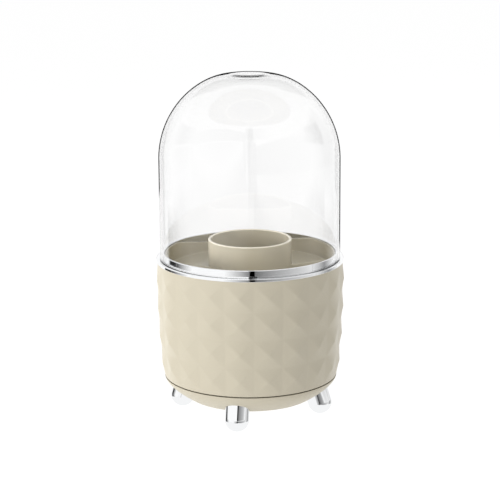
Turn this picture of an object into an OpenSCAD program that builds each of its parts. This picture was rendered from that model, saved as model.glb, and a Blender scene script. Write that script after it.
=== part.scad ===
// Makeup brush organizer. A drum with diamond facets turns on a footed
// base. A lift-out tray with a deep brush tube hangs in the drum, and a
// clear domed lid stands on a chromed ring round the drum's mouth.
// Sizes are in mm. Z = 0 is the surface that the four feet stand on.

/* [Drum shell] */
// Diameter over the tips of the diamond studs, at its widest
drum_d = 152.2; // [144:0.2:162]
// Height of the shell from the seam up to the trim ring
shell_h = 94.3; // [85:0.1:110]
// Thinnest wall, behind the grooves between the studs
shell_wall = 2; // [1.6:0.1:2.6]
// How far the shell draws in at the seam, on the radius
seam_draw = 4.7; // [3.5:0.1:6.5]
// Diamond studs round the drum
facet_columns = 20; // [16:2:28]
// Rows of studs
facet_rows = 4; // [3:1:5]
// Height of a stud's tip above the grooves round it
facet_relief = 1.5; // [0.8:0.1:1.8]
// Plain edge above the studs
edge_band = 2.2; // [1:0.1:4]
// Plain edge below the studs, at the seam
seam_band = 0.7; // [0.4:0.1:3]

/* [Trim ring] */
// How far the flange stands out past the shell's plain edge
flange_overhang = 0.8; // [0.3:0.1:1.5]
// Thickness of the flange
flange_t = 2.2; // [1.8:0.1:3.5]
// Height of the collar above the flange
collar_h = 5.9; // [4:0.1:8]
// Wall of the collar
collar_wall = 1.4; // [1.2:0.1:2]
// Length of the skirt inside the drum's mouth
skirt_h = 6.5; // [4:0.1:7]
// Wall of the skirt
skirt_wall = 1.4; // [1:0.1:1.6]

/* [Dome] */
// Wall of the clear dome
dome_wall = 2; // [1.6:0.1:2.4]
// Straight height from the flange to the half sphere
dome_straight_h = 76.4; // [60:0.2:95]
// Bare width of flange left outside the dome
dome_ledge = 2.9; // [2:0.1:3.2]
// Diameter of the dimple at the crown
dimple_d = 24.5; // [18:0.5:32]
// Depth of the dimple
dimple_depth = 1; // [0.6:0.1:1.3]

/* [Tray] */
// Depth of the tray floor below the top of the collar
tray_depth = 15; // [13:0.1:16]
// Wall of the tray
tray_wall = 1.5; // [1.2:0.1:2]
// Thickness of the tray floor
tray_floor_t = 2.2; // [1.8:0.1:3]
// Drop of the tray's rim below the top of the collar
tray_rim_drop = 0.8; // [0.4:0.1:1.5]
// Compartments round the brush tube
partition_count = 3; // [2:1:5]
// Thickness of a partition
partition_t = 2; // [1.4:0.1:3]
// Depth of a partition's top edge at the tube, below the collar
partition_dip = 9.6; // [7:0.1:11]
// Depth of a partition's top edge at the tray wall, below the collar
partition_drop = 1.5; // [1:0.1:4]
// Depth of the two finger scoops below the collar
scoop_depth = 9.1; // [6:0.1:11]
// Radius of the curve of the finger scoops
scoop_curve_r = 200; // [150:2:260]
// Turn of the tray in the drum
tray_turn = 108; // [0:1:359]

/* [Brush tube] */
// Outer diameter of the tube above the tray floor
tube_d = 67.1; // [58:0.1:72]
// Wall of the tube above the tray floor
tube_wall = 2.25; // [2:0.05:2.6]
// Height of the tube's rim above the collar
tube_rise = 9.6; // [4:0.1:20]
// Gap between the tube's foot and the tip of the pivot stud
tube_clearance = 2; // [1:0.5:30]
// Shoulder where the tube rests on the tray floor
tube_shoulder = 0.65; // [0.5:0.05:0.8]

/* [Base pan] */
// Height of the pan from its underside to its lip
pan_h = 16.7; // [14:0.1:20]
// How far the pan narrows from lip to underside, on the radius
pan_draw = 18.7; // [14:0.1:20]
// Wall of the pan
pan_wall = 2.4; // [2:0.1:3]
// Open seam between the pan and the turning shell
seam_gap = 0.9; // [0.6:0.1:1.6]
// Free height under the pan
ground_gap = 14.3; // [12:0.1:17]

/* [Feet] */
// Diameter of a foot
foot_d = 19.6; // [17:0.1:21]
// Length of a foot, from its round end to its flat top
foot_h = 25; // [23:0.1:26.5]
// Outward lean of the feet, in degrees
foot_splay = 16; // [10:0.5:18]
// Distance from the pan's lip in to the circle that the feet stand on
foot_inset = 12.7; // [11:0.1:14]
// Depth of the flat under the round end
foot_flat = 0.35; // [0.2:0.05:0.6]

/* [Bearing] */
// Diameter of a ball
ball_d = 6; // [5:0.5:6.5]
// Number of balls
ball_count = 12; // [8:1:16]
// Gap between the lower race and the feet's sockets
race_gap = 3; // [2:0.5:5]
// Radial play of a ball in its groove
ball_play = 0.15; // [0.1:0.05:0.25]
// Width of a race
race_w = 10; // [9:0.1:11]
// Thickness of a race
race_t = 2.2; // [1.8:0.1:2.6]
// Depth of the groove in a race
groove_depth = 1; // [0.7:0.1:1.2]
// Thickness of the ball cage
cage_t = 1.6; // [1.2:0.1:2]
// Diameter of the pivot stud
stud_d = 8; // [7:0.1:9]
// Diameter of the stud's threaded end
thread_d = 5; // [4:0.1:5.5]
// Thickness of the turntable plate
plate_t = 2.6; // [2:0.1:3.2]

/* [Fits] */
// Gap between the collar and the dome
dome_play = 0.3; // [0.2:0.05:0.4]
// Gap between the ring's bore and the tray
tray_play = 0.3; // [0.2:0.05:0.4]
// Height of the tray and the dome above their seats
seat_gap = 0.2; // [0.1:0.05:0.3]
// Gap round pieces that are pushed together and stay
push_gap = 0.1; // [0.05:0.01:0.15]
// Radial clearance of the turning bush on the stud
run_gap = 0.05; // [0.03:0.01:0.08]

/* [Hidden] */
$fn = 96;

// One overrun serves all cuts
cut = 1;

// Colours of the materials
beige = "#cdc5b0";
beige_liner = "#c3bba4";
chrome = "#c8cacc";
steel = "#9a9ea3";
natural = "#e6e2d8";
clear = [0.9, 0.94, 0.96, 0.3];

// Heights from the floor up
pan_z = ground_gap;
lip_z = pan_z + pan_h;
shell_z = lip_z + seam_gap;
shell_top_z = shell_z + shell_h;
flange_z = shell_top_z + flange_t;
collar_z = flange_z + collar_h;

// Radii from the drum inwards
drum_r = drum_d / 2;
edge_r = drum_r - facet_relief;
flange_r = edge_r + flange_overhang;
dome_r = flange_r - dome_ledge;
dome_bore_r = dome_r - dome_wall;
collar_r = dome_bore_r - dome_play;
ring_bore_r = collar_r - collar_wall;
skirt_r = ring_bore_r + skirt_wall;
mouth_r = skirt_r + push_gap;
tray_r = ring_bore_r - tray_play;
tray_bore_r = tray_r - tray_wall;
seam_r = edge_r - seam_draw;

// Studs, in even rows between the two plain edges
draw_power = 2.45;
column_step = 360 / facet_columns;
facet_turn = 4.2;
row_pitch = (shell_h - edge_band - seam_band) / facet_rows;

// Radius of the studs' base, from the trim ring (0) to the seam (1)
function base_r(t) = edge_r - seam_draw * pow(t, draw_power);
function share(z) = (shell_top_z - z) / shell_h;
function row_z(m) = shell_z + seam_band + m * row_pitch;
function cavity_r(t) = base_r(t) * cos(column_step / 4) - shell_wall;

// Points spaced evenly round a circle
function ring(count, turn, r, z) = [for (i = [0 : count - 1])
    let (a = turn + i * 360 / count) [r * cos(a), r * sin(a), z]];

// Tray, seated on a ledge inside the shell
tray_floor_z = collar_z - tray_depth;
tray_under_z = tray_floor_z - tray_floor_t;
ledge_z = tray_under_z - seat_gap;
ledge_w = 3.5;
ledge_t = 1.6;
ledge_r = ring_bore_r - ledge_w;
cavity_steps = 14;

// Brush tube
tube_r = tube_d / 2;
tube_bore_r = tube_r - tube_wall;
shank_r = tube_r - tube_shoulder;
tube_top_z = collar_z + tube_rise;
tube_floor_t = 2;
socket_h = 6;
socket_wall = 2;

// Base pan
pan_power = 1.5;
pan_steps = 12;
lip_r = seam_r;
plinth_rim = 1.5;
race_recess = 0.6;
post_wall = 4;
post_h = 6;
function pan_r(t) = lip_r - pan_draw * pow(t, pan_power);

// Feet, which lean out from sockets in the pan
foot_r = foot_d / 2;
foot_top = foot_h - foot_r;
foot_centre_z = foot_r - foot_flat;
foot_bore_r = foot_r + push_gap;
foot_cup_t = 1.8;
foot_screw_len = 10;
foot_turns = [270, 0, 90, 180];
foot_circle_r = lip_r - foot_inset;
socket_in_r = foot_circle_r - (foot_top + foot_cup_t) * sin(foot_splay)
    - (foot_bore_r + pan_wall) / cos(foot_splay);

// Bearing stack, hung from the turntable plate that stands a little
// inside the shell
ball_r = ball_d / 2;
ball_circle_r = socket_in_r - race_gap - race_w / 2;
groove_r = ball_r + ball_play;
plate_rise = 1;
plate_z = shell_z + plate_rise;
upper_race_z = plate_z + race_recess;
ball_z = upper_race_z - race_t - groove_r + groove_depth;
lower_race_z = ball_z - groove_r + groove_depth - race_t;
plinth_z = lower_race_z + race_recess;
race_in_r = ball_circle_r - race_w / 2;
race_out_r = ball_circle_r + race_w / 2;
pocket_gap = 0.2;
cage_w = race_w - 2 * pocket_gap;

// Turntable plate and its bush on the stud
plate_top_z = plate_z + plate_t;
plate_gap = 0.3;
plate_r = cavity_r(share(plate_z)) - plate_gap;
stud_r = stud_d / 2;
bush_bore_r = stud_r + run_gap;
bush_wall = 3;
bush_r = bush_bore_r + bush_wall;
bush_flange_w = 2;
bush_flange_t = 1.4;
bush_rise = 2;
bush_top_z = plate_top_z + bush_rise;
shoulder_z = bush_top_z + seat_gap;
thread_r = thread_d / 2;
washer_t = 1;
washer_r = bush_r + bush_flange_w;
nut_flats = thread_d * 1.6;
nut_h = thread_d * 0.7;
nut_z = shoulder_z + washer_t;
stud_tip = 0.8;
stud_head_w = 4;
stud_head_t = 1.4;
stud_bore_r = stud_r + push_gap;
stud_tip_z = nut_z + nut_h + stud_tip;
tube_foot_z = stud_tip_z + tube_clearance;

// Screws, all of one kind with a round head and a hex socket
screw_r = 1.5;
screw_head_r = 2.8;
screw_head_h = 1.8;
screw_key = 2.5;
screw_key_depth = 1.1;
screw_hole_r = screw_r + push_gap;
plate_screw_count = 4;
plate_screw_len = 11;
plate_screw_inset = 6.5;
plate_screw_r = plate_r - plate_screw_inset;
boss_r = 3.6;
boss_h = 14;
rib_t = 2;

// Moves a child from a foot's own frame, with the centre of its round
// end at zero and its axis up, to its place under the pan
module at_foot(turn) {
    rotate([0, 0, turn])
        translate([foot_circle_r, 0, foot_centre_z])
            rotate([0, -foot_splay, 0]) children();
}

module screw(shank) {
    difference() {
        union() {
            cylinder(r = screw_r, h = shank, $fn = 32);
            translate([0, 0, -screw_head_h])
                cylinder(r = screw_head_r, h = screw_head_h, $fn = 48);
        }
        translate([0, 0, -screw_head_h - cut])
            cylinder(d = screw_key / cos(30), h = screw_key_depth + cut, $fn = 6);
    }
}

// Flat ring with a half-round groove for the balls in its upper face
module race() {
    rotate_extrude() difference() {
        translate([race_in_r, 0]) square([race_w, race_t]);
        translate([ball_circle_r, race_t + groove_r - groove_depth])
            circle(r = groove_r);
    }
}

// A tube's wall between two radii
module wall_ring(r_out, r_in, z, h) {
    translate([0, 0, z]) difference() {
        cylinder(r = r_out, h = h);
        translate([0, 0, -cut]) cylinder(r = r_in, h = h + 2 * cut);
    }
}

// Shallow bowl with a post for the stud, a plinth for the lower race
// and four sockets for the feet
module base_pan() {
    color(beige) difference() {
        union() {
            difference() {
                pan_body(0);
                pan_body(pan_wall);
            }
            intersection() {
                pan_body(0);
                for (turn = foot_turns) at_foot(turn)
                    cylinder(r = foot_bore_r + pan_wall, h = foot_top + foot_cup_t);
            }
            wall_ring(race_out_r + plinth_rim, race_in_r - plinth_rim,
                pan_z, plinth_z - pan_z);
            translate([0, 0, pan_z])
                cylinder(r = stud_bore_r + post_wall, h = pan_wall + post_h);
        }
        for (turn = foot_turns) at_foot(turn) {
            translate([0, 0, -foot_r - cut])
                cylinder(r = foot_bore_r, h = foot_h + cut);
            cylinder(r = screw_hole_r, h = foot_top + foot_cup_t + cut, $fn = 32);
        }
        wall_ring(race_out_r + push_gap, race_in_r - push_gap,
            lower_race_z, race_recess + cut);
        translate([0, 0, pan_z - cut])
            cylinder(r = stud_bore_r, h = pan_wall + post_h + 2 * cut);
        translate([0, 0, pan_z - cut])
            cylinder(r = stud_r + stud_head_w + push_gap, h = stud_head_t + cut);
    }
}

// The bowl's outer form, or its cavity where a wall is given
module pan_body(wall) {
    z0 = pan_z + wall;
    t1 = (lip_z - z0) / pan_h;
    top = wall > 0 ? cut : 0;
    rotate_extrude() polygon(concat(
        [[0, lip_z + top], [lip_r - wall, lip_z + top]],
        [for (i = [0 : pan_steps]) let (t = t1 * i / pan_steps)
            [pan_r(t) - wall, lip_z - t * pan_h]],
        [[0, z0]]));
}

// Bullet foot with a round end, cut flat where it stands
module foot(turn) {
    color(chrome) difference() {
        at_foot(turn) difference() {
            rotate_extrude() intersection() {
                union() {
                    circle(r = foot_r);
                    square([foot_r, foot_top]);
                }
                translate([0, -foot_r]) square([foot_r, foot_h]);
            }
            translate([0, 0, foot_top + foot_cup_t - foot_screw_len - cut])
                cylinder(r = screw_hole_r, h = foot_screw_len + cut, $fn = 32);
        }
        rotate([0, 0, turn]) translate([foot_circle_r, 0, -foot_r])
            cylinder(r = foot_d, h = foot_r);
    }
}

module foot_front() foot(foot_turns[0]);
module foot_right() foot(foot_turns[1]);
module foot_rear() foot(foot_turns[2]);
module foot_left() foot(foot_turns[3]);

module foot_screws() {
    color(steel) for (turn = foot_turns) at_foot(turn)
        translate([0, 0, foot_top + foot_cup_t])
            mirror([0, 0, 1]) screw(foot_screw_len);
}

module lower_race() {
    color(steel) translate([0, 0, lower_race_z]) race();
}

module upper_race() {
    color(steel) translate([0, 0, upper_race_z]) mirror([0, 0, 1]) race();
}

// Shouldered stud, with its head let into the underside of the pan
module pivot_stud() {
    color(steel) translate([0, 0, pan_z]) {
        cylinder(r = stud_r + stud_head_w, h = stud_head_t);
        cylinder(r = stud_r, h = shoulder_z - pan_z);
        cylinder(r = thread_r, h = stud_tip_z - pan_z, $fn = 48);
    }
}

module pivot_washer() {
    color(steel) wall_ring(washer_r, thread_r + push_gap, shoulder_z, washer_t);
}

module pivot_nut() {
    color(steel) translate([0, 0, nut_z]) difference() {
        cylinder(d = nut_flats / cos(30), h = nut_h, $fn = 6);
        translate([0, 0, -cut])
            cylinder(r = thread_r + run_gap, h = nut_h + 2 * cut, $fn = 48);
    }
}

// Ring with a round pocket for each ball
module ball_cage() {
    color(natural) translate([0, 0, ball_z - cage_t / 2]) difference() {
        wall_ring(ball_circle_r + cage_w / 2, ball_circle_r - cage_w / 2, 0, cage_t);
        for (i = [0 : ball_count - 1]) rotate([0, 0, i * 360 / ball_count])
            translate([ball_circle_r, 0, -cut])
                cylinder(r = ball_r + pocket_gap, h = cage_t + 2 * cut, $fn = 48);
    }
}

module bearing_balls() {
    color(steel) for (i = [0 : ball_count - 1]) rotate([0, 0, i * 360 / ball_count])
        translate([ball_circle_r, 0, ball_z]) sphere(r = ball_r, $fn = 48);
}

// Floor of the drum, which rides on the balls
module turntable_plate() {
    color(beige) difference() {
        translate([0, 0, plate_z]) cylinder(r = plate_r, h = plate_t);
        wall_ring(race_out_r + push_gap, race_in_r - push_gap,
            plate_z - cut, race_recess + cut);
        translate([0, 0, plate_z - cut])
            cylinder(r = bush_r + push_gap, h = plate_t + 2 * cut);
        at_plate_screws() translate([0, 0, plate_z - cut])
            cylinder(r = screw_hole_r, h = plate_t + 2 * cut, $fn = 32);
    }
}

module at_plate_screws() {
    for (i = [0 : plate_screw_count - 1])
        rotate([0, 0, (i + 0.5) * 360 / plate_screw_count])
            translate([plate_screw_r, 0, 0]) children();
}

module plate_screws() {
    color(steel) at_plate_screws() translate([0, 0, plate_z]) screw(plate_screw_len);
}

// Flanged bush, pushed into the plate from below
module hub_bush() {
    color(natural) difference() {
        union() {
            translate([0, 0, plate_z]) cylinder(r = bush_r, h = bush_top_z - plate_z);
            translate([0, 0, plate_z - bush_flange_t])
                cylinder(r = bush_r + bush_flange_w, h = bush_flange_t);
        }
        translate([0, 0, plate_z - bush_flange_t - cut])
            cylinder(r = bush_bore_r, h = bush_top_z - plate_z + bush_flange_t + 2 * cut);
    }
}

// Outer skin of the drum: rows of four-sided diamond studs between two
// plain edges. A ring of the grid has a point at each tip and one between.
module faceted_drum() {
    n = facet_columns;
    function base(z) = ring(2 * n, facet_turn, base_r(share(z)), z);
    function tips(z) = ring(n, facet_turn, base_r(share(z)) + facet_relief, z);
    function wrap(i) = (i + 2 * n) % (2 * n);
    function low(i) = wrap(i);
    function at(m, i) = (2 + 3 * m) * n + wrap(i);
    function tip(m, k) = (4 + 3 * m) * n + k;
    function high(i) = (4 + 3 * facet_rows) * n + wrap(i);
    polyhedron(
        points = concat(
            base(shell_z),
            [for (m = [0 : facet_rows - 1]) each concat(
                base(row_z(m)), tips(row_z(m + 0.5)))],
            base(row_z(facet_rows)),
            base(shell_top_z)),
        faces = concat(
            [[for (i = [0 : 2 * n - 1]) low(i)]],
            [for (i = [0 : 2 * n - 1]) each [
                [low(i), at(0, i), at(0, i + 1)],
                [low(i), at(0, i + 1), low(i + 1)]]],
            [for (m = [0 : facet_rows - 1], k = [0 : n - 1]) let (i = 2 * k) each [
                [at(m, i - 1), tip(m, k), at(m, i)],
                [at(m, i), tip(m, k), at(m, i + 1)],
                [tip(m, k), at(m + 1, i + 1), at(m, i + 1)],
                [tip(m, k), at(m, i - 1), at(m + 1, i - 1)],
                [at(m + 1, i - 1), at(m + 1, i), tip(m, k)],
                [at(m + 1, i), at(m + 1, i + 1), tip(m, k)]]],
            [for (m = [facet_rows], i = [0 : 2 * n - 1]) each [
                [at(m, i), high(i), high(i + 1)],
                [at(m, i), high(i + 1), at(m, i + 1)]]],
            [[for (i = [2 * n - 1 : -1 : 0]) high(i)]]),
        convexity = 6);
}

// Inside of the shell, with the mouth for the ring's skirt above the
// ledge that carries the tray
module drum_cavity() {
    slope = cavity_r(0) - ledge_r;
    t0 = share(ledge_z - ledge_t - slope);
    rotate_extrude() polygon(concat(
        [[0, shell_z - cut], [cavity_r(1), shell_z - cut]],
        [for (i = [0 : cavity_steps]) let (t = 1 + (t0 - 1) * i / cavity_steps)
            [cavity_r(t), shell_top_z - t * shell_h]],
        [[ledge_r, ledge_z - ledge_t], [ledge_r, ledge_z], [mouth_r, ledge_z],
            [mouth_r, shell_top_z + cut], [0, shell_top_z + cut]]));
}

module body_shell() {
    rib_end = cavity_r(share(plate_top_z)) + shell_wall / 2;
    color(beige) difference() {
        union() {
            difference() {
                faceted_drum();
                drum_cavity();
            }
            at_plate_screws() translate([0, 0, plate_top_z]) {
                cylinder(r = boss_r, h = boss_h, $fn = 48);
                translate([0, -rib_t / 2, 0])
                    cube([rib_end - plate_screw_r, rib_t, boss_h]);
            }
        }
        at_plate_screws() translate([0, 0, plate_top_z - cut])
            cylinder(r = screw_hole_r, h = plate_screw_len - plate_t + 2 * cut, $fn = 32);
    }
}

// Chromed ring: a flange over the shell's edge, a collar that the dome
// fits round, and a skirt down into the mouth
module trim_ring() {
    round = flange_t / 4;
    bead = collar_wall / 4;
    color(chrome) rotate_extrude() difference() {
        union() {
            translate([ring_bore_r, shell_top_z - skirt_h])
                square([skirt_wall, skirt_h + flange_t / 2]);
            translate([ring_bore_r, shell_top_z])
                square([flange_r - round - ring_bore_r, flange_t]);
            translate([ring_bore_r, shell_top_z + round])
                square([flange_r - ring_bore_r, flange_t - 2 * round]);
            for (z = [shell_top_z + round, flange_z - round])
                translate([flange_r - round, z]) circle(r = round, $fn = 48);
            translate([ring_bore_r, flange_z - flange_t / 2])
                square([collar_wall, collar_h + flange_t / 2 - bead]);
            translate([ring_bore_r + bead, collar_z - 2 * bead])
                square([collar_wall - 2 * bead, 2 * bead]);
            for (r = [ring_bore_r + bead, collar_r - bead])
                translate([r, collar_z - bead]) circle(r = bead, $fn = 48);
        }
    }
}

// Moulded tray: floor, wall, partitions and the socket for the tube
module tray_liner() {
    socket_r = shank_r + push_gap + socket_wall;
    color(beige_liner) difference() {
        union() {
            translate([0, 0, tray_under_z]) cylinder(r = tray_r, h = tray_floor_t);
            wall_ring(tray_r, tray_bore_r, tray_under_z,
                collar_z - tray_rim_drop - tray_under_z);
            translate([0, 0, tray_under_z - socket_h])
                cylinder(r = socket_r, h = socket_h + tray_floor_t);
            for (i = [0 : partition_count - 1])
                rotate([0, 0, tray_turn + i * 360 / partition_count]) partition();
        }
        translate([0, 0, tray_under_z - socket_h - cut])
            cylinder(r = shank_r + push_gap, h = socket_h + tray_floor_t + 2 * cut);
        rotate([0, 0, tray_turn])
            translate([-tray_r - cut, 0, collar_z - scoop_depth + scoop_curve_r])
                rotate([0, 90, 0])
                    cylinder(r = scoop_curve_r, h = 2 * (tray_r + cut), $fn = 180);
    }
}

// Radial partition whose top edge falls from the wall to the tube
module partition() {
    start = tube_r + push_gap;
    end = tray_bore_r + tray_wall / 2;
    rotate([90, 0, 0]) translate([0, 0, -partition_t / 2])
        linear_extrude(partition_t) polygon([
            [start, tray_floor_z - tray_floor_t / 2],
            [end, tray_floor_z - tray_floor_t / 2],
            [end, collar_z - partition_drop],
            [start, collar_z - partition_dip]]);
}

// Deep round cup for brushes, resting on the tray floor by a shoulder
module brush_tube() {
    round = tube_wall / 2 - run_gap;
    color(beige_liner) difference() {
        union() {
            translate([0, 0, tube_foot_z])
                cylinder(r = shank_r, h = tube_top_z - tube_wall - tube_foot_z);
            translate([0, 0, tray_floor_z])
                cylinder(r = tube_r, h = tube_top_z - round - tray_floor_z);
            rotate_extrude() translate([tube_r - round, tube_top_z - round])
                circle(r = round, $fn = 48);
            translate([0, 0, tube_top_z - 2 * round])
                cylinder(r = tube_r - round, h = 2 * round);
        }
        translate([0, 0, tube_foot_z + tube_floor_t])
            cylinder(r = tube_bore_r, h = tube_top_z - tube_foot_z);
    }
}

// Half a section through the dome's outer or inner face
module dome_section(r, z) {
    spring = flange_z + dome_straight_h;
    intersection() {
        union() {
            translate([0, spring]) circle(r = r, $fn = 180);
            translate([0, z]) square([r, spring - z]);
        }
        translate([0, z]) square([r, spring + r - z]);
    }
}

// Clear dome: a straight wall under a half sphere with a dimple
module dome_cover() {
    crown = flange_z + dome_straight_h + dome_r;
    dimple_r = (pow(dimple_d / 2, 2) + pow(dimple_depth, 2)) / (2 * dimple_depth);
    color(clear) rotate_extrude() difference() {
        dome_section(dome_r, flange_z + seat_gap);
        dome_section(dome_bore_r, flange_z - cut);
        translate([0, crown - dimple_depth + dimple_r])
            circle(r = dimple_r, $fn = 180);
    }
}

base_pan();
foot_front();
foot_right();
foot_rear();
foot_left();
foot_screws();
lower_race();
pivot_stud();
pivot_washer();
pivot_nut();
ball_cage();
bearing_balls();
upper_race();
turntable_plate();
hub_bush();
plate_screws();
body_shell();
trim_ring();
tray_liner();
brush_tube();
dome_cover();
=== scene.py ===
"""Looks of a makeup brush organizer, dressed over its CAD model.

A moulded drum with diamond studs stands on a footed base. A chromed ring
closes its mouth, a tray with a deep brush tube hangs in it, and a clear
dome stands on the ring. The pieces are written in millimetres and turned
to metres where a mesh is made. The studio is written in metres.
"""

import logging
import math
from dataclasses import dataclass, field
from enum import Enum

import bpy
import numpy as np
from bpy.types import (ID, Material, Mesh, Node, NodeSocket, NodeTree,
                       Object)
from mathutils import Matrix, Vector


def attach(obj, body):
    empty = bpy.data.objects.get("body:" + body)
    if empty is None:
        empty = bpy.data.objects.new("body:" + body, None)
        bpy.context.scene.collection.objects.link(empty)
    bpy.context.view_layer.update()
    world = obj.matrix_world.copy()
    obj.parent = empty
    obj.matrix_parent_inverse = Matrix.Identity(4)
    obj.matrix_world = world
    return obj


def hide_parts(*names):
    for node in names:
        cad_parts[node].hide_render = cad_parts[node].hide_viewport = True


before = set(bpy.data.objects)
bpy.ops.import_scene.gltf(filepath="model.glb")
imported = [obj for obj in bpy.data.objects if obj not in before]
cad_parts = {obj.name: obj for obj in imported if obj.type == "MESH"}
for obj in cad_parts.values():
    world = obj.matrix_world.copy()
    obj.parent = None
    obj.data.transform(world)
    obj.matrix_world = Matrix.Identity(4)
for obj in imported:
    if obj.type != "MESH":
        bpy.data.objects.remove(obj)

LOG = logging.getLogger("brush_organizer")
MM = 0.001
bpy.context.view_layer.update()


class Body(Enum):
    """The moving groups of the object."""

    BASE = "base"
    BEARING = "bearing"
    DRUM = "drum"
    TRAY = "tray"
    DOME = "dome"


class Slot(Enum):
    """The material slots of the record."""

    SHELL = "shell"
    PAN = "pan"
    LINER = "liner"
    CHROME = "chrome"
    STEEL = "steel"
    NATURAL = "natural"
    DOME = "dome"


Materials = dict[Slot, Material]
Pair = tuple[float, float]
Triple = tuple[float, float, float]


@dataclass
class Surface:
    """A mesh as arrays: points in millimetres, and faces of three or four."""

    points: np.ndarray
    quads: np.ndarray = field(default_factory=lambda: np.zeros((0, 4), int))
    tris: np.ndarray = field(default_factory=lambda: np.zeros((0, 3), int))

    def normals(self) -> np.ndarray:
        """Vertex normals: the sum of the area vectors of the faces round it.

        The area vector is the cross product of the diagonals of a quad, and
        of two sides of a triangle.

        Returns:
            One unit normal for each point.
        """
        total = np.zeros_like(self.points)
        for faces, (a, b, c, d) in ((self.quads, (0, 2, 1, 3)),
                                    (self.tris, (0, 1, 0, 2))):
            corner = self.points[faces]
            area = np.cross(corner[:, b] - corner[:, a],
                            corner[:, d] - corner[:, c])
            for column in faces.T:
                np.add.at(total, column, area)
        length = np.linalg.norm(total, axis=1, keepdims=True)
        return total / np.maximum(length, 1e-12)

    def mesh(self, name: str) -> Mesh:
        """Writes the surface into a smooth mesh, in metres.

        Args:
            name: Name of the mesh.

        Returns:
            The mesh, with the vertex normals of this surface.
        """
        mesh = bpy.data.meshes.new(name)
        faces = self.quads.tolist() + self.tris.tolist()
        mesh.from_pydata((self.points * MM).tolist(), [], faces)
        mesh.polygons.foreach_set("use_smooth", np.ones(len(faces), bool))
        mesh.normals_split_custom_set_from_vertices(self.normals())
        return mesh


def grid_quads(rows: int, columns: int, close_rows: bool,
               close_columns: bool) -> np.ndarray:
    """Faces of a grid of points that is stored row by row.

    Point (i, j) has the number i * columns + j, and each face takes the
    points (i, j), (i, j + 1), (i + 1, j + 1), (i + 1, j).

    Args:
        rows: Number of rows.
        columns: Number of points in a row.
        close_rows: Whether the last row joins the first.
        close_columns: Whether each row is a closed ring.

    Returns:
        The faces, four point numbers each.
    """
    i = np.arange(rows if close_rows else rows - 1)[:, None]
    j = np.arange(columns if close_columns else columns - 1)[None, :]
    i2, j2 = (i + 1) % rows, (j + 1) % columns
    faces = np.stack([i * columns + j, i * columns + j2,
                      i2 * columns + j2, i2 * columns + j], axis=-1)
    return faces.reshape(-1, 4)


def arc(centre: Pair, radius: float, start: float, end: float,
        steps: int) -> np.ndarray:
    """Points centre + radius (cos a, sin a), with a from start to end.

    Args:
        centre: Centre of the arc.
        radius: Its radius.
        start: First angle, in degrees.
        end: Last angle, in degrees.
        steps: Number of equal steps between them.

    Returns:
        steps + 1 points.
    """
    a = np.radians(np.linspace(start, end, steps + 1))
    return np.stack([centre[0] + radius * np.cos(a),
                     centre[1] + radius * np.sin(a)], axis=1)


def rounded(corners: list[Triple], steps: int = 6,
            closed: bool = True) -> np.ndarray:
    """An outline whose corners are rounded.

    Each corner p between the directions u and v becomes the arc that
    touches both sides, at radius / tan(half the angle between u and v)
    from p, and never past half of a side.

    Args:
        corners: The corners, each as x, y and a radius in millimetres.
        steps: Steps in each rounded corner.
        closed: Whether the last corner joins the first. An open outline
            keeps its two ends.

    Returns:
        The points of the outline.
    """
    side_share = 0.499
    xy = np.array([c[:2] for c in corners], float)
    out = []
    for k, (_, _, radius) in enumerate(corners):
        p = xy[k]
        if radius <= 0 or (not closed and k in (0, len(corners) - 1)):
            out.append(p[None, :])
            continue
        before, after = xy[k - 1] - p, xy[(k + 1) % len(xy)] - p
        lengths = np.linalg.norm(before), np.linalg.norm(after)
        u, v = before / lengths[0], after / lengths[1]
        half = math.acos(max(-1.0, min(1.0, float(u @ v)))) / 2
        reach = min(radius / math.tan(half), side_share * min(lengths))
        r = reach * math.tan(half)
        middle = (u + v) / np.linalg.norm(u + v)
        centre = p + middle * r / math.sin(half)
        first, last = p + u * reach - centre, p + v * reach - centre
        a0, a1 = math.atan2(first[1], first[0]), math.atan2(last[1], last[0])
        a1 = a0 + (a1 - a0 + math.pi) % (2 * math.pi) - math.pi
        out.append(arc(tuple(centre), r, math.degrees(a0), math.degrees(a1),
                       steps))
    return np.concatenate(out)


def revolve(outline: np.ndarray, segments: int = 256,
            closed: bool = True) -> Surface:
    """Turns an outline about the Z axis.

    Point (r, z) goes to (r cos a, r sin a, z) for equal steps of a. A closed
    outline makes a ring. An open one starts and ends on the axis, where its
    rows shrink to a single point each.

    Args:
        outline: Points (r, z), in millimetres. It is run through so that
            faces point outwards, whichever way it comes.
        segments: Steps round the axis.
        closed: Whether the outline is closed.

    Returns:
        The surface.
    """
    r, z = outline[:, 0], outline[:, 1]
    if np.sum(r * np.roll(z, -1) - np.roll(r, -1) * z) < 0:
        outline = outline[::-1]
    a = np.linspace(0, 2 * math.pi, segments, endpoint=False)
    rows = outline if closed else outline[1:-1]
    points = np.stack([rows[:, :1] * np.cos(a), rows[:, :1] * np.sin(a),
                       np.repeat(rows[:, 1:], segments, axis=1)], axis=-1)
    surface = Surface(points.reshape(-1, 3),
                      grid_quads(len(rows), segments, closed, True))
    if closed:
        return surface
    n = len(surface.points)
    ends = np.array([[0, 0, outline[0, 1]], [0, 0, outline[-1, 1]]])
    j = np.arange(segments)
    j2 = (j + 1) % segments
    last = n - segments
    first_fan = np.stack([np.full(segments, n), j2, j], axis=1)
    last_fan = np.stack([np.full(segments, n + 1), last + j, last + j2],
                        axis=1)
    return Surface(np.concatenate([surface.points, ends]), surface.quads,
                   np.concatenate([first_fan, last_fan]))


def turned(points: np.ndarray, degrees: float) -> np.ndarray:
    """Turns points about the Z axis, (x, y) to (x cos a - y sin a,
    x sin a + y cos a).

    Args:
        points: The points, with x, y, z along the last axis.
        degrees: The angle a.

    Returns:
        The turned points.
    """
    c, s = math.cos(math.radians(degrees)), math.sin(math.radians(degrees))
    return points @ np.array([[c, s, 0], [-s, c, 0], [0, 0, 1]])


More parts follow.
